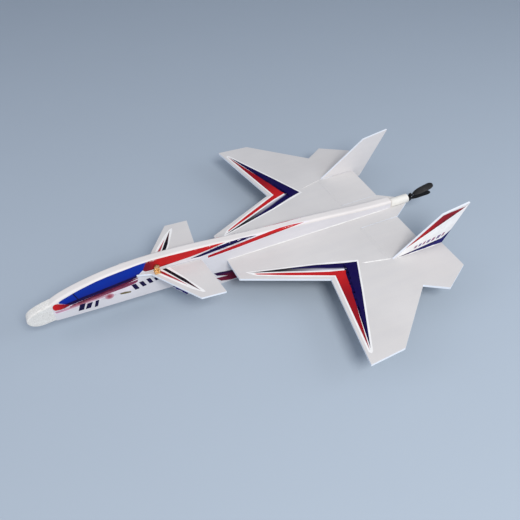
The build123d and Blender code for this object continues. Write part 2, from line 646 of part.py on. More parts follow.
def build_blade(sign):
    """Folded blade: root eye on the pin, trailing aft, twisted towards the tip."""
    splay = math.radians(BLADE_SPLAY[sign])
    ax, ay = -math.cos(splay), sign * math.sin(splay)
    stations = [(6.0, 7.0, 2.2, 0.0), (14.0, 11.8, 1.6, 14.0), (27.0, 14.6, 1.3, 20.0), (41.0, 15.0, 1.1, 17.0),
                (50.0, 12.0, 0.9, 15.0), (BLADE_L, 5.5, 0.7, 14.0)]
    with BuildPart() as blade:
        for dist, chord, thick, pitch in stations:
            pl = Plane(origin=(FOLD_X + ax * dist, sign * FOLD_Y + ay * dist, MOTOR_Z), x_dir=(0, 0, 1),
                       z_dir=(ax, ay, 0))
            with BuildSketch(pl):
                with BuildLine():
                    c, t = chord / 2, thick / 2
                    ca, sa = math.cos(math.radians(pitch)), sign * math.sin(math.radians(pitch))
                    ring = [(-c, 0), (-0.6 * c, t), (0.1 * c, 1.15 * t), (0.75 * c, 0.7 * t), (c, 0),
                            (0.75 * c, -0.5 * t), (0.1 * c, -0.5 * t), (-0.6 * c, -0.6 * t)]
                    Polyline(*[(u * ca - v * sa, u * sa + v * ca) for u, v in ring], close=True)
                make_face()
        loft()
        with BuildSketch(Plane.XY.offset(MOTOR_Z - 1.6)):
            with Locations((FOLD_X, sign * FOLD_Y)):
                Circle(2.6)
            with Locations((FOLD_X + ax * 3.6, sign * FOLD_Y + ay * 3.6)):
                Rectangle(7.2, 2.0, rotation=math.degrees(math.atan2(ay, ax)))
        extrude(amount=3.2)
        with Locations((FOLD_X, sign * FOLD_Y, MOTOR_Z)):
            Cylinder(0.8 + CLEAR, 10.0, mode=Mode.SUBTRACT)
    return blade


blade_left = build_blade(+1)
save_turned(blade_left, "blade_left")
blade_right = build_blade(-1)
save_turned(blade_right, "blade_right")
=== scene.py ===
import bpy
import bmesh
import json
import math
import random
from mathutils import Matrix, Vector
from mathutils.bvhtree import BVHTree


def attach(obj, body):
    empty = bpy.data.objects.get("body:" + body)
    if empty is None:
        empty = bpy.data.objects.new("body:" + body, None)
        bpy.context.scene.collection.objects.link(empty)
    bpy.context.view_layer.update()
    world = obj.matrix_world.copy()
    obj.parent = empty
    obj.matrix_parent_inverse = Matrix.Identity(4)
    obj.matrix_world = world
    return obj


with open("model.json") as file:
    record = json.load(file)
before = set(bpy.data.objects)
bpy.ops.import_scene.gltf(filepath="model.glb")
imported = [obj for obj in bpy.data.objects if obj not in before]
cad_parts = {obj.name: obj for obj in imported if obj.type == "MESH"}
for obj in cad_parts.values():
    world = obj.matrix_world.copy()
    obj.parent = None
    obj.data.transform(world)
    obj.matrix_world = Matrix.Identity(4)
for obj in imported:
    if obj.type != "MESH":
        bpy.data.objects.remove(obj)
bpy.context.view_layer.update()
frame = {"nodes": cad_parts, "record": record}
NODES = frame["nodes"]
MM = 0.001
ZW = 60.0                      # wing sheet's top surface above the belly, mm

# ------------------------------------------------------------------ camera
EYE = Vector((0.4441692, 0.8298179, 0.8887675))
cam_data = bpy.data.cameras.new("camera")
cam_data.lens = 41.538
cam_data.sensor_width = 36.0
cam_data.clip_start, cam_data.clip_end = 0.05, 50
cam = bpy.data.objects.new("camera", cam_data)
bpy.context.scene.collection.objects.link(cam)
right = Vector((-0.9108389, 0.4123540, -0.0183495))
down = Vector((0.2978957, 0.6259427, -0.7207315))
ahead = Vector((-0.2857108, -0.6619365, -0.6929714))
m = Matrix.Identity(4)
for i in range(3):
    m[i][0], m[i][1], m[i][2], m[i][3] = right[i], -down[i], -ahead[i], EYE[i]
cam.matrix_world = m
bpy.context.scene.camera = cam

# ------------------------------------------------------------------ node helpers


class Mat:
    """A small wrapper that builds one procedural material."""

    def __init__(self, name, rough=0.5, metallic=0.0, specular=0.5):
        self.m = bpy.data.materials.new(name)
        self.m.use_nodes = True
        self.t = self.m.node_tree
        self.b = self.t.nodes["Principled BSDF"]
        self.b.inputs["Roughness"].default_value = rough
        self.b.inputs["Metallic"].default_value = metallic
        self.b.inputs["Specular IOR Level"].default_value = specular
        self.co = self.t.nodes.new("ShaderNodeTexCoord").outputs["Object"]

    def node(self, kind, **k):
        n = self.t.nodes.new(kind)
        for a, v in k.items():
            setattr(n, a, v)
        return n

    def put(self, socket, v):
        if hasattr(v, "is_linked") or hasattr(v, "links"):
            self.t.links.new(v, socket)
        else:
            socket.default_value = v

    def mapped(self, scale=(1, 1, 1), rot=(0, 0, 0)):
        n = self.node("ShaderNodeMapping")
        self.put(n.inputs["Vector"], self.co)
        n.inputs["Scale"].default_value = scale
        n.inputs["Rotation"].default_value = rot
        return n.outputs["Vector"]

    def noise(self, scale, detail=4.0, rough=0.5, distort=0.0, vec=None):
        n = self.node("ShaderNodeTexNoise")
        self.put(n.inputs["Vector"], vec or self.co)
        n.inputs["Scale"].default_value = scale
        n.inputs["Detail"].default_value = detail
        n.inputs["Roughness"].default_value = rough
        n.inputs["Distortion"].default_value = distort
        return n.outputs["Fac"]

    def voronoi(self, scale, feature="F1", out="Distance", smooth=0.0, vec=None, rand=1.0):
        n = self.node("ShaderNodeTexVoronoi", feature=feature)
        self.put(n.inputs["Vector"], vec or self.co)
        n.inputs["Scale"].default_value = scale
        n.inputs["Randomness"].default_value = rand
        if feature == "SMOOTH_F1":
            n.inputs["Smoothness"].default_value = smooth
        return n.outputs[out]

    def wave(self, scale, direction="X", distort=0.0, detail=0.0, vec=None, profile="SIN"):
        n = self.node("ShaderNodeTexWave", bands_direction=direction, wave_profile=profile)
        self.put(n.inputs["Vector"], vec or self.co)
        n.inputs["Scale"].default_value = scale
        n.inputs["Distortion"].default_value = distort
        n.inputs["Detail"].default_value = detail
        return n.outputs["Fac"]

    def ramp(self, fac, stops, interp="LINEAR"):
        n = self.node("ShaderNodeValToRGB")
        n.color_ramp.interpolation = interp
        e = n.color_ramp.elements
        while len(e) < len(stops):
            e.new(0.5)
        for i, (p, c) in enumerate(stops):
            e[i].position = p
            e[i].color = (c, c, c, 1) if isinstance(c, (int, float)) else (*c, 1)
        self.put(n.inputs["Fac"], fac)
        return n.outputs["Color"]

    def rng(self, v, a, b, c, d):
        n = self.node("ShaderNodeMapRange")
        self.put(n.inputs["Value"], v)
        for k, x in zip(("From Min", "From Max", "To Min", "To Max"), (a, b, c, d)):
            n.inputs[k].default_value = x
        return n.outputs["Result"]

    def math(self, op, a, b=None):
        n = self.node("ShaderNodeMath", operation=op)
        self.put(n.inputs[0], a)
        if b is not None:
            self.put(n.inputs[1], b)
        return n.outputs[0]

    def mix(self, fac, a, b, mode="MIX"):
        n = self.node("ShaderNodeMix", data_type="RGBA", blend_type=mode)
        self.put(n.inputs[0], fac)
        self.put(n.inputs[6], a if not isinstance(a, tuple) else (*a[:3], 1))
        self.put(n.inputs[7], b if not isinstance(b, tuple) else (*b[:3], 1))
        return n.outputs[2]

    def edges(self, radius):
        """1 near an edge of the solid, 0 on its faces, and the rounded normal."""
        bev = self.node("ShaderNodeBevel", samples=4)
        bev.inputs["Radius"].default_value = radius
        geo = self.node("ShaderNodeNewGeometry")
        dot = self.node("ShaderNodeVectorMath", operation="DOT_PRODUCT")
        self.put(dot.inputs[0], bev.outputs["Normal"])
        self.put(dot.inputs[1], geo.outputs["Normal"])
        return self.rng(dot.outputs["Value"], 0.98, 0.75, 0.0, 1.0), bev.outputs["Normal"]

    def bump(self, height, distance, strength=1.0, normal=None):
        n = self.node("ShaderNodeBump")
        self.put(n.inputs["Height"], height)
        n.inputs["Distance"].default_value = distance
        n.inputs["Strength"].default_value = strength
        if normal is not None:
            self.put(n.inputs["Normal"], normal)
        return n.outputs["Normal"]

    def done(self, color, rough=None, normal=None):
        self.put(self.b.inputs["Base Color"], color)
        if rough is not None:
            self.put(self.b.inputs["Roughness"], rough)
        if normal is not None:
            self.put(self.b.inputs["Normal"], normal)
        return self.m


# ------------------------------------------------------------------ materials


def foam(name, tone=(0.655, 0.64, 0.63), cell=850.0, sheet=None):
    """Extruded foam sheet: fine closed cells, faint roller lines, slow ripples, and edges and cut faces painted a
    brighter bluish white as a painted highlight.

    sheet is the axis square to the sheet; faces that don't look along it are cut edges."""
    s = Mat(name, rough=0.5, specular=0.35)
    edge, rounded = s.edges(0.0006)
    cells = s.voronoi(cell, "SMOOTH_F1", smooth=0.6)
    fine = s.noise(2600, 2.0)
    lines = s.noise(70, 3.0, vec=s.mapped((0.12, 1.0, 1.0)))
    slow = s.noise(9, 2.0)
    a = tone
    lo = tuple(v * 0.955 for v in a)
    hi = tuple(min(1.0, v * 1.03) for v in a)
    c = s.mix(s.ramp(slow, [(0.3, 0.0), (0.7, 1.0)]), lo, hi)
    c = s.mix(s.rng(cells, 0.0, 0.7, 0.0, 0.10), c, (0.50, 0.50, 0.54))
    c = s.mix(s.rng(lines, 0.35, 0.65, 0.0, 0.10), c, (0.50, 0.50, 0.54))
    # painted highlight: a bluish white laid along every edge of the solid
    c = s.mix(s.math("MULTIPLY", edge, 0.85), c, (0.90, 0.93, 0.97))
    if sheet:
        # painted highlight: faces that don't look along the sheet's axis, the cut faces, get a brighter bluish white
        sep = s.node("ShaderNodeSeparateXYZ")
        s.put(sep.inputs[0], s.node("ShaderNodeTexCoord").outputs["Normal"])
        cut = s.rng(s.math("ABSOLUTE", sep.outputs[sheet]), 0.75, 0.6, 0.0, 1.0)
        c = s.mix(s.math("MULTIPLY", cut, 0.92), c, (0.86, 0.92, 1.0))
    scuff = s.ramp(s.noise(38, 6.0, 0.65, 0.4), [(0.60, 0.0), (0.72, 1.0)])
    c = s.mix(s.math("MULTIPLY", scuff, 0.10), c, (0.55, 0.55, 0.55))
    n = s.bump(slow, 0.0012, 0.55, rounded)
    n = s.bump(lines, 0.00022, 0.5, n)
    n = s.bump(cells, 0.00012, 0.55, n)
    n = s.bump(fine, 0.00004, 0.5, n)
    r = s.rng(s.math("ADD", cells, slow), 0.3, 1.3, 0.40, 0.60)
    return s.done(c, r, n)


def bead_foam(name):
    """Moulded bead foam of the nose bumper."""
    s = Mat(name, rough=0.55, specular=0.3)
    cells = s.voronoi(330, "DISTANCE_TO_EDGE")
    cell_tone = s.voronoi(330, "F1", "Color")
    sep = s.node("ShaderNodeSeparateColor")
    s.put(sep.inputs["Color"], cell_tone)
    c = s.mix(sep.outputs["Red"], (0.76, 0.755, 0.72), (0.86, 0.855, 0.83))
    c = s.mix(s.ramp(cells, [(0.0, 1.0), (0.07, 0.0)]), c, (0.62, 0.61, 0.58))
    worn = s.ramp(s.noise(60, 5.0), [(0.52, 0.0), (0.7, 1.0)])
    c = s.mix(s.math("MULTIPLY", worn, 0.12), c, (0.50, 0.48, 0.45))
    n = s.bump(s.ramp(cells, [(0.0, 0.0), (0.10, 1.0)]), 0.00025, 0.6)
    n = s.bump(s.noise(1500, 2.0), 0.00005, 0.5, n)
    return s.done(c, s.rng(cells, 0.0, 0.3, 0.65, 0.48), n)


def film(name, rough=0.42, cells=850.0, wear=0.35):
    """Printed film laid on the foam: colour from the sheet's own print, cells showing through."""
    s = Mat(name, rough=rough, specular=0.14)
    att = s.node("ShaderNodeVertexColor", layer_name="print")
    mott = s.noise(45, 4.0)
    c = s.mix(s.rng(mott, 0.3, 0.7, 0.0, 0.14), att.outputs["Color"], (0.02, 0.02, 0.03), "MIX")
    speck = s.ramp(s.noise(900, 3.0, 0.7), [(0.76, 0.0), (0.80, 1.0)])
    c = s.mix(s.math("MULTIPLY", speck, wear), c, (0.60, 0.60, 0.62))
    show = s.voronoi(cells, "SMOOTH_F1", smooth=0.6)
    ripple = s.noise(120, 3.0, 0.5, 0.6)
    n = s.bump(ripple, 0.00022, 0.5)
    n = s.bump(show, 0.00007, 0.5, n)
    return s.done(c, s.rng(ripple, 0.3, 0.7, rough - 0.07, rough + 0.12), n)


def plywood(name):
    s = Mat(name, rough=0.62)
    grain = s.wave(160, "Z", 9.0, 3.0, vec=s.mapped((0.3, 1, 1)))
    pores = s.noise(900, 3.0, vec=s.mapped((1, 1, 0.08)))
    c = s.mix(grain, (0.50, 0.32, 0.16), (0.66, 0.46, 0.26))
    c = s.mix(s.ramp(pores, [(0.55, 0.0), (0.7, 1.0)]), c, (0.28, 0.16, 0.07))
    plies = s.wave(420, "X", 0.3)
    c = s.mix(s.rng(plies, 0.4, 0.6, 0.0, 0.25), c, (0.34, 0.20, 0.10))
    return s.done(c, s.rng(pores, 0.3, 0.7, 0.5, 0.75), s.bump(pores, 0.0001, 0.6))


def carbon(name):
    s = Mat(name, rough=0.32, specular=0.6)
    fib = s.noise(2200, 3.0, vec=s.mapped((1, 0.02, 1)))
    c = s.mix(s.ramp(fib, [(0.3, 0.0), (0.7, 1.0)]), (0.012, 0.012, 0.014), (0.055, 0.055, 0.062))
    return s.done(c, s.rng(fib, 0.3, 0.7, 0.25, 0.45), s.bump(fib, 0.00005, 0.7))


def metal(name, lo, hi, rough=0.3, scratch=(1, 1, 0.03), tarnish=None, scale=1400):
    s = Mat(name, rough=rough, metallic=1.0)
    edge, rounded = s.edges(0.00018)
    brush = s.noise(scale, 3.0, vec=s.mapped(scratch))
    blot = s.noise(260, 5.0, 0.6)
    c = s.mix(brush, lo, hi)
    if tarnish:
        c = s.mix(s.ramp(blot, [(0.42, 0.0), (0.68, 1.0)]), c, tarnish)
    c = s.mix(s.math("MULTIPLY", edge, 0.5), c, tuple(min(1, v * 1.15) for v in hi))
    n = s.bump(brush, 0.00003, 0.5, rounded)
    n = s.bump(blot, 0.00003, 0.35, n)
    return s.done(c, s.rng(s.math("ADD", brush, blot), 0.6, 1.4, rough - 0.08, rough + 0.18), n)


def plastic(name, color, rough=0.4, grain=1500.0, depth=0.00005, worn=(0.5, 0.5, 0.5), wear=0.25, vary=0.12,
            specular=0.5, edge_r=0.0003):
    s = Mat(name, rough=rough, specular=specular)
    edge, rounded = s.edges(edge_r)
    g = s.voronoi(grain, "SMOOTH_F1", smooth=0.4)
    slow = s.noise(90, 4.0)
    lo = tuple(v * (1 - vary) for v in color)
    hi = tuple(min(1, v * (1 + vary)) for v in color)
    c = s.mix(slow, lo, hi)
    c = s.mix(s.math("MULTIPLY", edge, wear), c, worn)
    dust = s.ramp(s.noise(240, 6.0, 0.7), [(0.6, 0.0), (0.78, 1.0)])
    c = s.mix(s.math("MULTIPLY", dust, 0.12), c, worn)
    n = s.bump(g, depth, 0.6, rounded)
    n = s.bump(slow, 0.00015, 0.3, n)
    return s.done(c, s.rng(slow, 0.3, 0.7, rough - 0.06, rough + 0.12), n)


def fabric(name, color):
    s = Mat(name, rough=0.9, specular=0.2)
    hooks = s.voronoi(1500, "F1")
    rows = s.wave(1100, "X", 1.0)
    c = s.mix(s.rng(hooks, 0.0, 0.6, 0.0, 1.0), tuple(v * 0.4 for v in color), tuple(v * 1.8 for v in color))
    n = s.bump(hooks, 0.0004, 0.9)
    return s.done(c, s.rng(rows, 0, 1, 0.8, 1.0), s.bump(rows, 0.0002, 0.5, n))


FOAM = foam("foam_sheet", sheet="Z")
# painted light: the fin, spine and flank foam is the sheet's foam in brighter tones, warmer on the spine and with a
# bluish cast on the flanks
FOAM_FIN_PAINTED_LIGHT = foam("foam_fin_painted_light", tone=(0.74, 0.72, 0.72), sheet="Y")
FOAM_CAP_PAINTED_LIGHT = foam("foam_cap_painted_light", tone=(0.80, 0.765, 0.745), cell=700.0)
FOAM_SIDE_PAINTED_LIGHT = foam("foam_side_painted_light", tone=(0.72, 0.71, 0.74), cell=850.0, sheet="Y")
NOSE = bead_foam("bead_foam")
FILM = film("printed_film")
FILM_WHITE = film("white_film", rough=0.26, wear=0.0)
PLY = plywood("birch_plywood")
PLY_PALE = plastic("painted_plywood", (0.66, 0.62, 0.58), 0.6, 600, 0.00012, (0.45, 0.30, 0.18), 0.35, vary=0.06)
CARBON = carbon("carbon_flat")
BRASS = metal("turned_brass", (0.50, 0.35, 0.17), (0.72, 0.55, 0.32), 0.34, (1, 1, 0.2), (0.36, 0.20, 0.09))
STEEL = metal("spring_steel", (0.42, 0.42, 0.43), (0.66, 0.66, 0.68), 0.30, (0.03, 0.03, 1))
NICKEL = metal("nickel_plate", (0.66, 0.66, 0.67), (0.82, 0.82, 0.84), 0.14, (1, 1, 1))
ALU = metal("turned_aluminium", (0.60, 0.61, 0.63), (0.80, 0.81, 0.83), 0.30, (0.05, 1, 1))
CAN = metal("black_can", (0.010, 0.010, 0.012), (0.045, 0.045, 0.05), 0.34, (0.05, 1, 1), (0.02, 0.02, 0.02))
SERVO = plastic("servo_case_blue", (0.022, 0.075, 0.30), 0.22, 1800, 0.00003, (0.20, 0.28, 0.55), 0.35)
NYLON = plastic("white_nylon", (0.72, 0.72, 0.68), 0.42, 1700, 0.00005, (0.85, 0.85, 0.82), 0.3)
WRAP = plastic("battery_wrap", (0.03, 0.07, 0.26), 0.25, 500, 0.00012, (0.2, 0.25, 0.45), 0.2)
HOOKS = fabric("hook_pad", (0.03, 0.03, 0.032))
SHRINK = plastic("heat_shrink", (0.014, 0.014, 0.015), 0.30, 420, 0.00016, (0.10, 0.10, 0.10), 0.2)
RX = plastic("receiver_case", (0.045, 0.045, 0.05), 0.45, 1600, 0.00006, (0.2, 0.2, 0.2), 0.3)
POD = plastic("pod_tube", (0.78, 0.765, 0.72), 0.38, 1300, 0.00006, (0.88, 0.87, 0.84), 0.4, vary=0.05, edge_r=0.0004)
PROP = plastic("propeller_nylon", (0.005, 0.005, 0.006), 0.50, 1500, 0.00007, (0.04, 0.04, 0.04), 0.3, specular=0.25)
GLUE = plastic("foam_glue", (0.80, 0.80, 0.79), 0.24, 500, 0.00012, (0.8, 0.8, 0.78), 0.1)
DARK = plastic("dark_film", (0.02, 0.02, 0.025), 0.35, 1500, 0.00004, (0.15, 0.15, 0.15), 0.1)

SLOT_MATS = {
    "foam": FOAM, "plywood": PLY, "carbon": CARBON, "brass": BRASS, "steel": STEEL, "magnet": NICKEL,
    "servo_case": SERVO, "nylon": NYLON, "battery_wrap": WRAP, "hook_pad": HOOKS, "heat_shrink": SHRINK,
    "receiver_case": RX, "pod_plastic": POD, "motor_aluminium": ALU, "motor_black": CAN, "prop_plastic": PROP,
}
NODE_MATS = {"nose_block": NOSE, "fuselage_spine": FOAM_CAP_PAINTED_LIGHT, "fuselage_side_left": FOAM_SIDE_PAINTED_LIGHT, "fuselage_side_right": FOAM_SIDE_PAINTED_LIGHT,
             "former_tail": PLY_PALE, "fin_left": FOAM_FIN_PAINTED_LIGHT, "fin_right": FOAM_FIN_PAINTED_LIGHT}
for sub in frame["record"]["subparts"]:
    name = sub["node"]
    o = NODES.get(name)
    if o is None:
        continue
    mat = NODE_MATS.get(name) or SLOT_MATS[sub["material_slot"]]
    if not o.material_slots:
        o.data.materials.append(mat)
    for ms in o.material_slots:
        ms.material = mat

# ------------------------------------------------------------------ surfaces to lay film on


def surface_of(*names):
    verts, polys = [], []
    for n in names:
        me = NODES[n].data
        off = len(verts)
        verts += [v.co.copy() for v in me.vertices]
        polys += [[i + off for i in p.vertices] for p in me.polygons]
    return BVHTree.FromPolygons(verts, polys)


def curve(points, per=6):
    """Smooth line through the points (centripetal-free Catmull-Rom)."""
    out = []
    n = len(points)
    for i in range(n - 1):
        p0 = points[max(i - 1, 0)]
        p1, p2 = points[i], points[i + 1]
        p3 = points[min(i + 2, n - 1)]
        for k in range(per):
            t = k / per
            out.append(tuple(
                0.5 * ((2 * p1[j]) + (-p0[j] + p2[j]) * t + (2 * p0[j] - 5 * p1[j] + 4 * p2[j] - p3[j]) * t * t
                       + (-p0[j] + 3 * p1[j] - 3 * p2[j] + p3[j]) * t ** 3) for j in range(len(p1))))
    out.append(tuple(points[-1]))
    return out


def lay(name, pts, how, target, body, mat, colour, lift=0.12, step=None, sides=(1, -1), holes=(), base=0.05, level=None,
        slot="foam"):
    """A thin closed sheet over the polygon pts, laid on the target surface.

    how: "top" takes (x, y) and looks down; "side" takes (x, z above the wing) on the fuselage's flank and looks
    along the line of sight of a viewer up to the left; "flank" and "fin" look straight across.
    colour: an (r, g, b) or a function of the two coordinates.
    """
    made = []
    bm = bmesh.new()
    layer = bm.verts.layers.float_vector.new("tint")
    vs = [bm.verts.new((p[0] * MM, p[1] * MM, 0)) for p in pts]
    f = bm.faces.new(vs)
    bmesh.ops.triangulate(bm, faces=[f], ngon_method="EAR_CLIP")
    xs = [p[0] for p in pts]
    ys = [p[1] for p in pts]
    cuts = []
    if step:
        for axis, vals in ((0, xs), (1, ys)):
            v = math.floor(min(vals) / step) * step
            while v < max(vals):
                cuts.append((axis, v))
                v += step
    for (x0, y0, x1, y1) in holes:
        cuts += [(0, x0), (0, x1), (1, y0), (1, y1)]
    for axis, v in cuts:
        co = Vector((v * MM, 0, 0)) if axis == 0 else Vector((0, v * MM, 0))
        no = Vector((1, 0, 0)) if axis == 0 else Vector((0, 1, 0))
        bmesh.ops.bisect_plane(bm, geom=bm.verts[:] + bm.edges[:] + bm.faces[:], plane_co=co, plane_no=no)
    for (x0, y0, x1, y1) in holes:
        gone = [f for f in bm.faces if x0 * MM < f.calc_center_median().x < x1 * MM
                and y0 * MM < f.calc_center_median().y < y1 * MM]
        bmesh.ops.delete(bm, geom=gone, context="FACES")
    bmesh.ops.remove_doubles(bm, verts=bm.verts[:], dist=1e-7)
    flat = {}
    lost = []
    for v in bm.verts:
        a, b = v.co.x, v.co.y
        if how == "top":
            src, d = Vector((a, b, 1.0)), Vector((0, 0, -1))
        elif how == "under":
            src, d = Vector((a, b, -1.0)), Vector((0, 0, 1))
        elif how == "side":
            on = Vector((a, (level if level is not None else 10.0) * MM, b + ZW * MM))
            src, d = EYE, (on - EYE).normalized()
        else:
            src, d = Vector((a, 1.0, b + ZW * MM)), Vector((0, -1, 0))
        hit, nor, _, _ = target.ray_cast(src, d)
        if hit is None:
            lost.append(v)
            flat[v] = (None, None, (a / MM, b / MM))
            continue
        if nor.dot(d) > 0:
            nor = -nor
        flat[v] = (hit, nor, (a / MM, b / MM))
    for v in lost:
        near = min((w for w in bm.verts if flat[w][0] is not None), key=lambda w: (w.co - v.co).length)
        flat[v] = (flat[near][0], flat[near][1], flat[v][2])
    for v in bm.verts:
        h, n, ab = flat[v]
        c = colour(*ab) if callable(colour) else colour
        v[layer] = Vector(c)
    info = [(v, flat[v][0], flat[v][1]) for v in bm.verts]
    for v, h, n in info:
        v.co = h - n * base * MM
    faces = bm.faces[:]
    ret = bmesh.ops.extrude_face_region(bm, geom=faces, use_keep_orig=True)
    new = {tuple(round(c, 8) for c in v.co): v for v in ret["geom"] if isinstance(v, bmesh.types.BMVert)}
    for v, h, n in info:
        w = new.get(tuple(round(c, 8) for c in v.co))
        if w is not None:
            w.co = h + n * lift * MM
            w[layer] = v[layer]
    bmesh.ops.recalc_face_normals(bm, faces=bm.faces[:])
    for sg in sides:
        me = bpy.data.meshes.new(f"{name}_{'left' if sg > 0 else 'right'}" if len(sides) > 1 else name)
        b2 = bm.copy()
        if sg < 0:
            for v in b2.verts:
                v.co.y = -v.co.y
            bmesh.ops.reverse_faces(b2, faces=b2.faces[:])
        b2.to_mesh(me)
        lay2 = b2.verts.layers.float_vector["tint"]
        cols = [v[lay2].copy() for v in b2.verts]
        b2.free()
        if "tint" in me.attributes:
            me.attributes.remove(me.attributes["tint"])
        att = me.color_attributes.new("print", "FLOAT_COLOR", "POINT")
        for i, c in enumerate(cols):
            att.data[i].color = (c[0], c[1], c[2], 1)
        me.materials.append(mat)
        o = bpy.data.objects.new(me.name, me)
        bpy.context.scene.collection.objects.link(o)
        bd = body[0 if sg > 0 else 1] if isinstance(body, tuple) else body
        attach(o, bd)
        made.append(o)
    bm.free()
    return made


def smooth(a, b, v):
    t = max(0.0, min(1.0, (v - a) / (b - a)))
    return t * t * (3 - 2 * t)


def blend3(t, a, b):
    return tuple(x + (y - x) * t for x, y in zip(a, b))


RED = (0.54, 0.012, 0.014)
DEEP_RED = (0.44, 0.006, 0.012)
NAVY = (0.004, 0.000, 0.062)
BLACK = (0.004, 0.003, 0.008)
BLUE = (0.000, 0.020, 0.31)
MAROON = (0.15, 0.004, 0.028)
PINK = (0.78, 0.48, 0.52)
WHITE = (0.90, 0.90, 0.90)

WING = surface_of("wing_left", "wing_right")
HULL = surface_of("fuselage_side_left", "fuselage_side_right", "fuselage_spine", "belly_strip", "intake_face",
                  "fuselage_floor_front", "fuselage_floor_rear")
FINS = surface_of("fin_left", "fin_right")
CANARDS = surface_of("canard_left", "canard_right")

# ------------------------------------------------------------------ wing chevrons
S = 700.0


def W(*p):
    return [(x * S, y * S) for x, y in p]


lay("wing_white_film", [(142, 57.5), (100, 69.5), (10.5, 93.8), (-74, 121.2), (-40.6, 196.6), (19.8, 326), (24.5, 330),
                        (28.3, 325.0), (-8.3, 142.2), (37.5, 121.2), (71.5, 104.2), (126.5, 75.2), (131, 70.8), (139, 62.5)],
    "top", WING, "airframe", FILM_WHITE, WHITE, lift=0.10)
lay("wing_red_film", W((.1833, .0978), (.1, .1333), (.05, .1556), (-.0056, .1792), (-.0528, .1944), (.0345, .4609),
                       (-.0167, .2006), (.05, .1681), (.1, .1444), (.1778, .1042)),
    "top", WING, "airframe", FILM, lambda x, y: blend3(smooth(135, 200, y), RED, (0.30, 0.004, 0.010)), lift=0.18, step=8.0)
lay("wing_navy_film", W((-.0612, .1917), (-.0325, .2803), (.0300, .4573), (-.0528, .2803), (-.0986, .1778), (-.0583, .1660)),
    "top", WING, "airframe", FILM, NAVY, lift=0.18, step=8.0)

NAVY_TOP = [(-.0583 * S, .1660 * S), (.0167 * S, .1389 * S), (.1 * S, .1155 * S), (.1944 * S, .0889 * S)]
NAVY_LOW = [(-.0583 * S, .1917 * S), (-.008 * S, .1745 * S), (.0475 * S, .1510 * S), (.098 * S, .1288 * S),
            (.1944 * S, .0889 * S)]


def along(line, x):
    for (x0, y0), (x1, y1) in zip(line, line[1:]):
        if x0 <= x <= x1:
            return y0 + (y1 - y0) * (x - x0) / (x1 - x0)
    return line[-1][1]


def leg_colour(x, y):
    s = (136.1 - x) / (136.1 + 40.8)             # 0 at the front tip, 1 at the corner
    top, low = along(NAVY_TOP, x), along(NAVY_LOW, x)
    t = 0.5 if low - top < 0.3 else (low - y) / (low - top)   # 1 at the inner edge
    grey = 0.012 + 0.50 * smooth(0.28, 0.85, s) * (1.15 - t)
    base = (grey, grey, grey * 1.15)
    k = smooth(0.36, 0.60, t + 1.05 * (s - 0.62))
    if s < 0.25:
        k = 0.0
    return blend3(k, base, NAVY if s > 0.45 else BLACK)


lay("wing_fade_film", NAVY_LOW + list(reversed(NAVY_TOP[:-1])), "top", WING, "airframe", FILM, leg_colour, lift=0.18, step=2.0)

# ------------------------------------------------------------------ canard stripes
lay("canard_white_film", [(312, 12.2), (262, 79), (243, 97), (238, 98), (240, 91), (279, 12.2)], "top", CANARDS, "canard",
    FILM_WHITE, WHITE, lift=0.10)
lay("canard_black_film", [(293.5, 12.4), (267.5, 57), (245, 92.5), (261.8, 53), (286.0, 12.4)], "top", CANARDS, "canard", FILM,
    lambda x, y: blend3(smooth(55, 90, y), BLACK, (0.10, 0.02, 0.03)), lift=0.18, step=4.0)
lay("canard_red_film", [(306.5, 12.4), (293.6, 30), (280.5, 47), (262.0, 71), (277.5, 44), (291.5, 23.4), (300.0, 12.4)], "top", CANARDS, "canard", FILM,
    lambda x, y: blend3(smooth(20, 65, y), (0.36, 0.006, 0.012), (0.50, 0.12, 0.14)), lift=0.18, step=4.0)

# ------------------------------------------------------------------ fuselage flanks
TOP = [(503, 27.5), (487, 35.0), (472, 40.2), (449, 46.5), (426, 51.4), (403, 55.3), (380, 58.0), (350, 60.0), (318, 60.8),
       (279, 59.7), (228, 56.0), (180, 51.0), (124, 44.8), (81, 41.0), (20, 37.0), (-33, 33.2), (-81, 28.6), (-130, 23.2),
       (-180, 19.2), (-222, 17.0)]
TOPC = curve(TOP, 8)


def top_line(x0, x1, drop):
    """Points under the fuselage's top line from x0 down to x1 (x0 > x1)."""
    out = [(x0, along(sorted(TOPC), x0) - drop)]
    out += [(x, z - drop) for x, z in TOPC if x1 < x < x0]
    out.append((x1, along(sorted(TOPC), x1) - drop))
    return out


SERVO_HOLE = [(345.6, 37.8, 374.8, 48.2)]
CANOPY_LOW = [(471.1, 16.2), (461.8, 17.4), (452.0, 19.2), (433.1, 21.3), (414.2, 22.8), (395.0, 24.7), (375.4, 27.4),
              (355.9, 30.0), (343.9, 32.5)]
NAVY_BAND_LOW = [(470.2, 13.0), (462.7, 13.8), (453.0, 15.2), (433.9, 17.5), (414.9, 19.3), (395.7, 21.3), (376.1, 24.0),
                 (356.5, 26.4), (343.2, 29.2)]
# the film's upper edge, on the rounded strip along the top
CAP_EDGE = [(487.0, 29.6), (481.8, 32.1), (466, 37.2), (456.3, 40.5), (446.5, 43.4), (436.9, 45.7), (427.4, 47.9), (417.7, 50.2),
            (408.1, 51.8), (398.7, 53.1), (389.2, 54.3), (379.7, 55.3), (370.2, 56.2), (360.7, 57.0), (351, 58.0), (341.4, 58.9),
            (331.7, 59.6), (322.2, 60.0), (312.4, 60.2), (293.3, 59.2), (273.9, 57.9), (254.3, 56.2), (234.6, 54.0), (214.5, 52.4),
            (194.1, 51.2), (173.6, 49.9)]


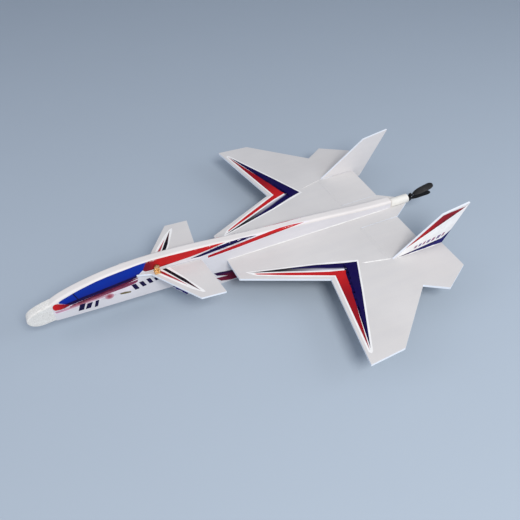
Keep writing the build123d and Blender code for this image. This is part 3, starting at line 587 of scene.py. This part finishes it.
def side_film(name, pts, colour, lift, step=3.0, mat=None, **k):
    """The same sheet on both flanks; the right one clears the servo's lugs."""
    lay(name, pts, "side", HULL, "airframe", mat or FILM, colour, lift, step, sides=(1,), **k)
    lay(name + "_r", pts, "side", HULL, "airframe", mat or FILM, colour, lift, step, sides=(-1,), holes=SERVO_HOLE, **k)


def canopy_blue(x, z):
    low = along(sorted(CANOPY_LOW), max(343.9, min(471.1, x)))
    h = smooth(0, 7, z - low)
    # painted highlight: a brighter blue band about 19 mm above the canopy's lower edge, standing in for the canopy's
    # sheen
    painted_sheen = 0.30 * math.exp(-((z - (low + 19)) / 8.0) ** 2)
    c = blend3(h, (0.004, 0.004, 0.13), BLUE)
    return blend3(painted_sheen, c, (0.000, 0.045, 0.44))


side_film("canopy_film", [p for p in CAP_EDGE if p[0] > 330] + [(320.5, 59.8), (328.5, 43.2), (336.5, 36.4)]
          + list(reversed(CANOPY_LOW)) + [(481.1, 20.4), (488.9, 25.5), (489.0, 28.0)], canopy_blue, 0.18)
side_film("canopy_edge", CANOPY_LOW + [(340.5, 34.2), (341.5, 30.6)] + list(reversed(NAVY_BAND_LOW)) + [(473.5, 14.4), (479.5, 19.2)],
          (0.012, 0.002, 0.060), 0.20)
side_film("windscreen_line", [(461.9, 38.9), (459.7, 39.4), (453.3, 19.6), (455.6, 19.3)], (0.002, 0.003, 0.045), 0.24)
side_film("nose_red_film", [(472.5, 14.9), (481.2, 20.0), (492.0, 25.6), (496.6, 26.2), (500.0, 24.2), (501.8, 20.2), (501.6, 14.5),
                            (499.0, 11.0), (489.4, 9.3), (479.9, 10.8), (471.0, 13.4)],
          lambda x, z: blend3(smooth(500, 474, x), (0.60, 0.010, 0.014), (0.22, 0.002, 0.014)), 0.22)
# painted shade: the white film on the flanks is a greyer, lavender white instead of the wing's white
side_film("flank_white_film", [(502.7, 9.0), (490, 8.2), (478, 9.6), (470.2, 12.4)] + [(x, z - 0.2) for x, z in NAVY_BAND_LOW]
          + [(341.2, 12.0), (350, 7.0), (362, 3.0), (398, 4.8), (437, 2.6), (470, 1.6), (488, 0.6), (502.7, 1.4)], (0.82, 0.76, 0.82), 0.10,
          mat=FILM_WHITE)
side_film("flank_line_film", [(468, 12.6), (454.0, 11.9), (434.8, 14.6), (415.7, 16.9), (396.3, 19.2), (376.6, 22.4), (357.1, 24.4),
                              (340.5, 28.6), (341, 26.4), (357.1, 22.4), (376.6, 20.3), (396.3, 17.2), (415.7, 15.0), (434.8, 12.8),
                              (454.0, 10.2), (468, 11.2)], (0.16, 0.012, 0.050), 0.20)
side_film("flank_maroon_film", [(473, 10.6), (454.2, 9.4), (435.1, 11.8), (416.0, 14.0), (396.8, 16.2), (377.3, 18.2), (357.9, 20.0),
                                (341.2, 23.6), (343.4, 18.2), (352.0, 15.6), (360.2, 14.2), (378.4, 13.4), (397.9, 12.2), (417.1, 10.4), (436.1, 8.6),
                                (454.9, 6.9), (473, 7.4)],
          lambda x, z: blend3(smooth(480, 370, x), (0.42, 0.13, 0.18), (0.24, 0.045, 0.10)), 0.20)
side_film("flank_pink_film", [(500.5, 7.6), (487.6, 8.0), (476, 8.4), (474, 6.0), (455.5, 6.4), (436.7, 7.4), (417.7, 8.4), (398.5, 9.9),
                              (398.5, 7.4), (417.7, 5.8), (436.7, 5.0), (455.5, 4.4), (470.4, 3.9), (487.3, 2.9), (498.9, 3.3)],
          lambda x, z: blend3(smooth(500, 470, x), (0.58, 0.30, 0.42), (0.62, 0.36, 0.44)), 0.16)

# plain slanted blocks where the number and the word stand
INK = (0.006, 0.002, 0.045)
side_film("number_block_1", [(455.0, 6.8), (444.6, 6.4), (450.6, -8.6), (460.8, -8.4)], INK, 0.20)
side_film("number_block_2", [(441.4, 3.6), (431.6, 3.8), (438.0, -9.6), (447.6, -9.2)], INK, 0.20)
side_film("number_block_3", [(425.9, 3.8), (419.4, 3.8), (424.9, -11.2), (431.3, -11.4)], INK, 0.20)
side_film("flank_disc", [(399.7 + 8.6 * math.cos(a * math.pi / 12), 3.8 + 6.8 * math.sin(a * math.pi / 12)) for a in range(24)],
          lambda x, z: blend3(smooth(2, 8.0, math.hypot(x - 399.7, z - 3.8)), (0.36, 0.07, 0.10), (0.60, 0.34, 0.42)), 0.24)
side_film("flank_streak", curve([(380, 2.0), (374, 3.0), (366, 1.6), (358.6, -0.6)], 4) + curve([(360.2, -3.6), (370, -2.4), (379, -0.6)], 4),
          lambda x, z: (0.17, 0.14, 0.07), 0.20)
WORD = [(356.0, 14.6, 346.0, -0.6, 8.4), (341.0, 15.2, 331.0, 1.8, 8.0), (326.5, 17.6, 317.0, 4.4, 7.6), (311.5, 15.0, 304.5, 6.6, 5.4)]
for i, (xa, zt, xb, zb, wd) in enumerate(WORD):
    side_film(f"word_block_{i + 1}", [(xa, zt), (xa - wd, zt + 0.6), (xb - wd + 4.4, zb + 0.5), (xb + 4.4, zb)], INK, 0.20)

# red wedge behind the canopy and the stripes that run aft
side_film("hull_red_wedge", [(321.2, 59.9)] + [p for p in CAP_EDGE if p[0] < 320] + [(163.3, 48.6), (173.9, 46.6), (194.8, 43.2),
          (215.6, 40.9), (236.2, 39.2), (256.4, 38.5), (276.3, 39.0), (293.8, 40.2), (303.9, 39.0), (316, 36.6), (325, 37.4), (329.6, 42.6)],
          lambda x, z: blend3(smooth(296, 322, x), RED, (0.20, 0.003, 0.014)), 0.18)
# painted shade: this white border is the same greyer, lavender white as on the rest of the flank
side_film("hull_navy_white", [(240, 32.6), (216, 34.8), (195, 37.6), (183.6, 40.4), (175, 45.8), (160, 47.6), (140, 47.9), (118, 46.6), (92, 43.0),
                              (96, 38.6), (110, 37.6), (132, 38.4), (153, 36.4), (175, 34.6), (196, 30.4), (218, 28.8)], (0.84, 0.80, 0.86), 0.10, mat=FILM_WHITE)
side_film("hull_navy_stripe", [(235.4, 34.0), (216.1, 35.4), (195.2, 38.6), (173.9, 43.9), (152.9, 46.0), (131.8, 45.8), (110.5, 43.4), (97.0, 41.0),
                               (110.6, 40.2), (132.0, 40.7), (153.3, 39.4), (174.5, 37.0), (195.7, 33.0), (216.5, 31.6)], NAVY, 0.18)
side_film("hull_red_stripe", [(200.2, 27.6), (175.0, 30.1), (153.7, 32.0), (132.4, 33.4), (110.8, 35.2), (88.9, 38.2), (67.0, 40.4), (44.9, 41.6),
                              (22.5, 40.4), (5.5, 37.8), (-10, 36.4), (5.5, 36.2), (22.4, 36.2), (44.9, 35.6), (67.1, 33.0), (89.1, 29.8), (111.0, 27.0),
                              (132.7, 25.2), (154.2, 24.0), (175.5, 22.8), (200.7, 22.0)],
          lambda x, z: blend3(smooth(60, 190, x), RED, DEEP_RED), 0.18)
# painted shade: this white border is the same greyer, lavender white as on the rest of the flank
side_film("hull_red_white", [(202, 20.6), (175, 21.2), (154, 22.4), (132, 23.6), (110, 25.2), (89, 27.6), (67, 30.8), (44.9, 33.2), (22, 34.2), (-24, 34.4),
                             (-20, 36.8), (5, 40.2), (22, 42.2), (44.9, 43.4), (67, 42.2), (89, 40.2), (111, 37.0), (132, 35.2), (154, 33.8), (175, 31.8), (202, 29.4)],
          (0.84, 0.80, 0.86), 0.10, mat=FILM_WHITE)

# belly stripes and the patch at the intake
side_film("belly_navy_stripe", [(192, -25.0), (174.6, -27.6), (158, -33.5), (140, -40.0), (96, -44.5), (58, -48.0), (96, -51.0), (140, -48.5),
                                (163, -42.6), (186, -34.0)],
          lambda x, z: blend3(smooth(-30, -44, z), (0.02, 0.003, 0.05), (0.16, 0.008, 0.030)), 0.18)
side_film("belly_maroon_stripe", [(188, -40.5), (160, -48.6), (120, -53.0), (70, -54.6), (40, -54.0), (70, -57.2), (120, -58.2),
                                  (156.6, -57.6), (178, -52.0)],
          lambda x, z: (0.17, 0.008, 0.036), 0.18)
side_film("intake_patch", [(281.4, -23.8), (266.0, -23.4), (247.5, -52.0), (252.0, -58.5), (253.2, -58.5)], (0.012, 0.004, 0.20), 0.18)

# ------------------------------------------------------------------ fins, outer faces
FZ = 0.0
lay("fin_white_film", [(-142, 1.2), (-159, 16.0), (-192.5, 40.4), (-227, 65.8), (-240, 75.0), (-293, 80.4), (-297, 80.8),
                       (-276, 42.0), (-257, 8.4), (-253, 1.2)], "fin", FINS, "airframe", FILM_WHITE, WHITE, lift=0.10)
lay("fin_red_film", [(-163, 18.8), (-192.5, 40.4), (-210, 53.4), (-227.5, 66.2), (-240, 75.2), (-256, 77.6), (-275, 78.8), (-293, 80.2),
                     (-280, 73.0), (-262, 68.5), (-245, 62.0), (-227, 53.0), (-210, 44.4), (-190, 32.5)], "fin", FINS, "airframe", FILM,
    lambda x, z: blend3(smooth(-200, -250, x), DEEP_RED, (0.26, 0.006, 0.016)), lift=0.18, step=4.0)
lay("fin_navy_film", curve([(-141.5, 0.8), (-177, 3.6), (-210, 6.6), (-236.3, 9.4), (-252, 15.5), (-262, 22.6), (-274.5, 34.4)], 5)
    + [(-271.0, 32.0), (-257, 8.0), (-253.2, 0.8)], "fin", FINS, "airframe", FILM,
    lambda x, z: blend3(smooth(-160, -185, x), (0.05, 0.004, 0.06), (0.010, 0.008, 0.13)), lift=0.18, step=4.0)
FIN_MARKS = [(-183, 13.5, 6.0, 6.0), (-192.5, 15.0, 6.5, 6.6), (-202.5, 16.4, 5.6, 7.0), (-211.5, 17.4, 7.4, 7.4),
             (-223.0, 18.8, 7.0, 7.6), (-234.5, 20.4, 8.0, 8.0), (-246.5, 23.4, 5.4, 8.0)]
for i, (x0, z0, w, h) in enumerate(FIN_MARKS):
    lay(f"fin_mark_{i + 1}", [(x0, z0 - h / 2), (x0 - w, z0 - h / 2 + 0.8), (x0 - w - h * 0.55, z0 + h / 2 + 0.8), (x0 - h * 0.55, z0 + h / 2)],
        "fin", FINS, "airframe", FILM, (0.20, 0.15, 0.30) if i % 2 else (0.34, 0.17, 0.26), lift=0.18)

# ------------------------------------------------------------------ glue beads and seams


def bead(name, path, radius, body, mat, seed, up=Vector((0, 0, 1)), out=None, flat=1.0):
    """An uneven fillet of glue: a quarter-round strip along the path, thicker and thinner as it was laid."""
    rnd = random.Random(seed)
    bm = bmesh.new()
    rings = []
    ph = [rnd.uniform(0, 6.28) for _ in range(4)]
    n = len(path)
    for i, p in enumerate(path):
        s = i / max(1, n - 1)
        w = radius * (1 + 0.22 * math.sin(17 * s + ph[0]) + 0.16 * math.sin(53 * s + ph[1]) + 0.10 * math.sin(131 * s + ph[2]))
        w *= min(1.0, 0.25 + 6 * min(s, 1 - s))
        c = Vector(p)
        ring = [c - out * 0.15 * MM - up * 0.15 * MM]
        for k in range(6):
            a = k / 5 * math.pi / 2
            # concave quarter between the two faces
            u = 1 - math.sin(a) * 0.78
            v = 1 - math.cos(a) * 0.78
            ring.append(c + out * (w * u * flat) * MM + up * (w * v - 0.0) * MM - (up * 0.15 * MM if k == 0 else Vector((0, 0, 0)))
                        - (out * 0.15 * MM if k == 5 else Vector((0, 0, 0))))
        rings.append([bm.verts.new(q) for q in ring])
    for a, b in zip(rings, rings[1:]):
        for k in range(len(a)):
            j = (k + 1) % len(a)
            bm.faces.new((a[k], a[j], b[j], b[k]))
    bm.faces.new(rings[0])
    bm.faces.new(list(reversed(rings[-1])))
    bmesh.ops.recalc_face_normals(bm, faces=bm.faces[:])
    me = bpy.data.meshes.new(name)
    bm.to_mesh(me)
    bm.free()
    for p in me.polygons:
        p.use_smooth = True
    me.materials.append(mat)
    o = bpy.data.objects.new(name, me)
    bpy.context.scene.collection.objects.link(o)
    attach(o, body)
    return o


for sg, tag in ((1, "left"), (-1, "right")):
    xs = [161 - i * 3.0 for i in range(128)]
    bead(f"wing_root_glue_{tag}", [(x * MM, sg * 10.0 * MM, ZW * MM) for x in xs if x > -221], 1.5, "airframe", GLUE, 11 + sg,
         out=Vector((0, sg, 0)))
    bead(f"wing_under_glue_{tag}", [(x * MM, sg * 10.0 * MM, (ZW - 5) * MM) for x in xs if x > -215], 1.3, "airframe", GLUE, 21 + sg,
         up=Vector((0, 0, -1)), out=Vector((0, sg, 0)))
    fin_x = [-139 - i * 2.5 for i in range(45)]
    bead(f"fin_outer_glue_{tag}", [(x * MM, sg * 150.2 * MM, ZW * MM) for x in fin_x if x > -250], 1.2, "airframe", GLUE, 31 + sg,
         out=Vector((0, sg, 0)))
    bead(f"fin_toe_glue_{tag}", [((-76 - i * 2.0) * MM, sg * (132.2 + 0.24 * 2.0 * i) * MM, (ZW - 0.1) * MM) for i in range(30)], 1.5,
         "airframe", GLUE, 41 + sg, out=Vector((0, sg, 0)))
    bead(f"fin_under_glue_{tag}", [((-168 - i * 2.5) * MM, sg * 150.2 * MM, (ZW - 5) * MM) for i in range(31)], 1.2, "airframe", GLUE, 51 + sg,
         up=Vector((0, 0, -1)), out=Vector((0, sg, 0)))

# thin tape over the valley at each elevon hinge; it ends above the hinge axis, clear of the turning nose
TAPE = foam("hinge_tape", tone=(0.655, 0.64, 0.63), cell=1100.0)
for sg, tag in ((1, "left"), (-1, "right")):
    bm = bmesh.new()
    rnd = random.Random(71 + sg)
    rows = []
    for k in range(54):
        y = 42.0 + k * (145.0 - 42.0) / 53
        jag = 0.25 * math.sin(k * 0.9 + sg) + rnd.uniform(-0.08, 0.08)
        rows.append([bm.verts.new((x * MM, sg * y * MM, z * MM)) for x, z in (
            (-126.2 + jag, ZW - 0.03), (-126.3 + jag, ZW + 0.09), (-129.6, ZW + 0.11), (-132.2, ZW + 0.09), (-132.2, ZW + 0.01),
            (-129.6, ZW - 0.03))])
    for a, b in zip(rows, rows[1:]):
        for i in range(6):
            j = (i + 1) % 6
            bm.faces.new((a[i], a[j], b[j], b[i]))
    bm.faces.new(rows[0])
    bm.faces.new(list(reversed(rows[-1])))
    bmesh.ops.recalc_face_normals(bm, faces=bm.faces[:])
    me = bpy.data.meshes.new(f"hinge_tape_{tag}")
    bm.to_mesh(me)
    bm.free()
    me.materials.append(TAPE)
    o = bpy.data.objects.new(me.name, me)
    bpy.context.scene.collection.objects.link(o)
    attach(o, "airframe")

# ------------------------------------------------------------------ floor and light


def plain(name, color, rough):
    s = Mat(name, rough=rough, specular=0.2)
    g = s.noise(6, 3.0)
    return s.done(s.mix(g, tuple(v * 0.985 for v in color), color), None, s.bump(s.noise(300, 2.0), 0.0001, 0.2))


floor_me = bpy.data.meshes.new("floor")
bm = bmesh.new()
# a sweep: flat ground that rises far behind the object
prof = [(-6.0, 0.0), (3.2, 0.0), (3.8, 0.06), (4.3, 0.25), (4.7, 0.6), (4.95, 1.1), (5.0, 1.8), (5.0, 5.0)]
ax = Vector((-0.30, -0.95, 0)).normalized()
side = Vector((-ax.y, ax.x, 0))
rows = []
for d, h in prof:
    rows.append([bm.verts.new(ax * d + side * w + Vector((0, 0, h))) for w in (-8, 8)])
for a, b in zip(rows, rows[1:]):
    bm.faces.new((a[0], a[1], b[1], b[0]))
bmesh.ops.recalc_face_normals(bm, faces=bm.faces[:])
bm.to_mesh(floor_me)
bm.free()
for p in floor_me.polygons:
    p.use_smooth = True
floor = bpy.data.objects.new("floor", floor_me)
floor_me.materials.append(plain("floor_paper", (0.40, 0.47, 0.55), 0.8))
bpy.context.scene.collection.objects.link(floor)


def area(name, loc, target, size, power, color=(1, 1, 1)):
    d = bpy.data.lights.new(name, "AREA")
    d.shape = "RECTANGLE"
    d.size, d.size_y = size
    d.energy = power
    d.color = color
    o = bpy.data.objects.new(name, d)
    o.location = loc
    o.rotation_mode = "QUATERNION"
    o.rotation_quaternion = (Vector(target) - Vector(loc)).to_track_quat("-Z", "Y")
    bpy.context.scene.collection.objects.link(o)
    return o


area("key", (0.15, 2.0, 2.2), (0.1, 0, 0.05), (1.0, 1.0), 56, (1.0, 0.965, 0.92))
area("back", (-1.6, 1.0, 1.2), (0.0, 0, 0.05), (1.2, 1.0), 9, (0.90, 0.94, 1.0))
area("front", (2.0, -0.4, 1.3), (0.1, 0, 0.05), (1.2, 1.2), 7, (0.96, 0.95, 1.0))

world = bpy.data.worlds.new("world")
world.use_nodes = True
world.node_tree.nodes["Background"].inputs["Color"].default_value = (0.76, 0.80, 0.90, 1)
world.node_tree.nodes["Background"].inputs["Strength"].default_value = 0.55
bpy.context.scene.world = world
bpy.context.scene.view_settings.view_transform = "Standard"
bpy.context.scene.view_settings.look = "None"
